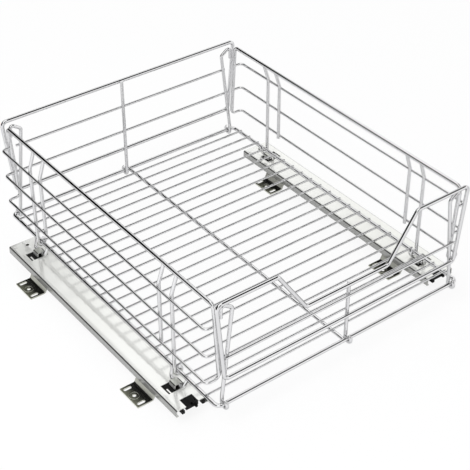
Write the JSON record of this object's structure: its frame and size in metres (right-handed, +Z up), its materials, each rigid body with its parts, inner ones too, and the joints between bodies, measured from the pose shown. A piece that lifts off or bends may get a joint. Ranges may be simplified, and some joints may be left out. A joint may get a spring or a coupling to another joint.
{
  "type": "pull-out cabinet basket",
  "caption": "Chrome wire pull-out basket with hinged wire walls, carried on flat full-extension ball slides with slotted floor brackets, for a base cabinet.",
  "frame": {"origin": "middle of the whole assembly's footprint, on the cabinet floor that the bracket flanges stand on", "axes": "+X to the right, -Y out of the cabinet towards the user, +Z up"},
  "size_m": [0.4704, 0.4944, 0.191],
  "materials": {
    "chrome_wire": "bright chrome-plated steel wire",
    "rail_zinc": "smooth bright zinc-plated cold-rolled steel",
    "bracket_zinc": "zinc-plated pressed steel",
    "cage_steel": "plain pressed steel",
    "ball_steel": "polished steel",
    "clip_steel": "bent spring steel",
    "black_plastic": "moulded black plastic"
  },
  "bodies": {
    "fixed_rails": {"left_inner_rail": "rail_zinc", "left_front_bracket": "bracket_zinc", "left_rear_bracket": "bracket_zinc", "left_rivets": "bracket_zinc", "left_rear_bumper": "black_plastic", "right_inner_rail": "rail_zinc", "right_front_bracket": "bracket_zinc", "right_rear_bracket": "bracket_zinc", "right_rivets": "bracket_zinc", "right_rear_bumper": "black_plastic"},
    "basket": {"base_grid": "chrome_wire", "left_outer_rail": "rail_zinc", "left_front_clip": "clip_steel", "left_rear_clip": "clip_steel", "left_front_insert": "black_plastic", "left_rear_insert": "black_plastic", "left_front_bumper": "black_plastic", "right_outer_rail": "rail_zinc", "right_front_clip": "clip_steel", "right_rear_clip": "clip_steel", "right_front_insert": "black_plastic", "right_rear_insert": "black_plastic", "right_front_bumper": "black_plastic"},
    "left_middle": {"left_middle_rail": "rail_zinc"},
    "right_middle": {"right_middle_rail": "rail_zinc"},
    "left_upper_bearing": {"left_upper_cage": "cage_steel", "left_upper_balls": "ball_steel"},
    "right_upper_bearing": {"right_upper_cage": "cage_steel", "right_upper_balls": "ball_steel"},
    "left_lower_bearing": {"left_lower_cage": "cage_steel", "left_lower_balls": "ball_steel"},
    "right_lower_bearing": {"right_lower_cage": "cage_steel", "right_lower_balls": "ball_steel"},
    "front_wall": {"front_panel": "chrome_wire"},
    "back_wall": {"back_panel": "chrome_wire"},
    "left_wall": {"left_panel": "chrome_wire"},
    "right_wall": {"right_panel": "chrome_wire"}
  },
  "joints": [
    {"name": "basket_slide", "type": "slide", "parent": "fixed_rails", "child": "basket", "axis": [0, -1, 0], "range_m": [0, 0.4]},
    {"name": "left_middle_slide", "type": "slide", "parent": "fixed_rails", "child": "left_middle", "axis": [0, -1, 0], "range_m": [0, 0.2]},
    {"name": "right_middle_slide", "type": "slide", "parent": "fixed_rails", "child": "right_middle", "axis": [0, -1, 0], "range_m": [0, 0.2]},
    {"name": "left_upper_bearing_slide", "type": "slide", "parent": "fixed_rails", "child": "left_upper_bearing", "axis": [0, -1, 0], "range_m": [0, 0.3]},
    {"name": "right_upper_bearing_slide", "type": "slide", "parent": "fixed_rails", "child": "right_upper_bearing", "axis": [0, -1, 0], "range_m": [0, 0.3]},
    {"name": "left_lower_bearing_slide", "type": "slide", "parent": "fixed_rails", "child": "left_lower_bearing", "axis": [0, -1, 0], "range_m": [0, 0.1]},
    {"name": "right_lower_bearing_slide", "type": "slide", "parent": "fixed_rails", "child": "right_lower_bearing", "axis": [0, -1, 0], "range_m": [0, 0.1]},
    {"name": "front_fold", "type": "hinge", "parent": "basket", "child": "front_wall", "pos_m": [0.01025, -0.24, 0.04], "axis": [1, 0, 0], "range_deg": [0, 90]},
    {"name": "back_fold", "type": "hinge", "parent": "basket", "child": "back_wall", "pos_m": [0.01025, 0.24, 0.04], "axis": [-1, 0, 0], "range_deg": [0, 90]},
    {"name": "left_fold", "type": "hinge", "parent": "basket", "child": "left_wall", "pos_m": [-0.18225, 0, 0.04], "axis": [0, 1, 0], "range_deg": [0, 85]},
    {"name": "right_fold", "type": "hinge", "parent": "basket", "child": "right_wall", "pos_m": [0.20275, 0, 0.04], "axis": [0, -1, 0], "range_deg": [0, 85]}
  ],
  "couplings": [
    {"joint": "left_middle_slide", "follows": "basket_slide", "ratio": 0.5},
    {"joint": "left_upper_bearing_slide", "follows": "basket_slide", "ratio": 0.75},
    {"joint": "left_lower_bearing_slide", "follows": "basket_slide", "ratio": 0.25},
    {"joint": "right_middle_slide", "follows": "basket_slide", "ratio": 0.5},
    {"joint": "right_upper_bearing_slide", "follows": "basket_slide", "ratio": 0.75},
    {"joint": "right_lower_bearing_slide", "follows": "basket_slide", "ratio": 0.25}
  ]
}
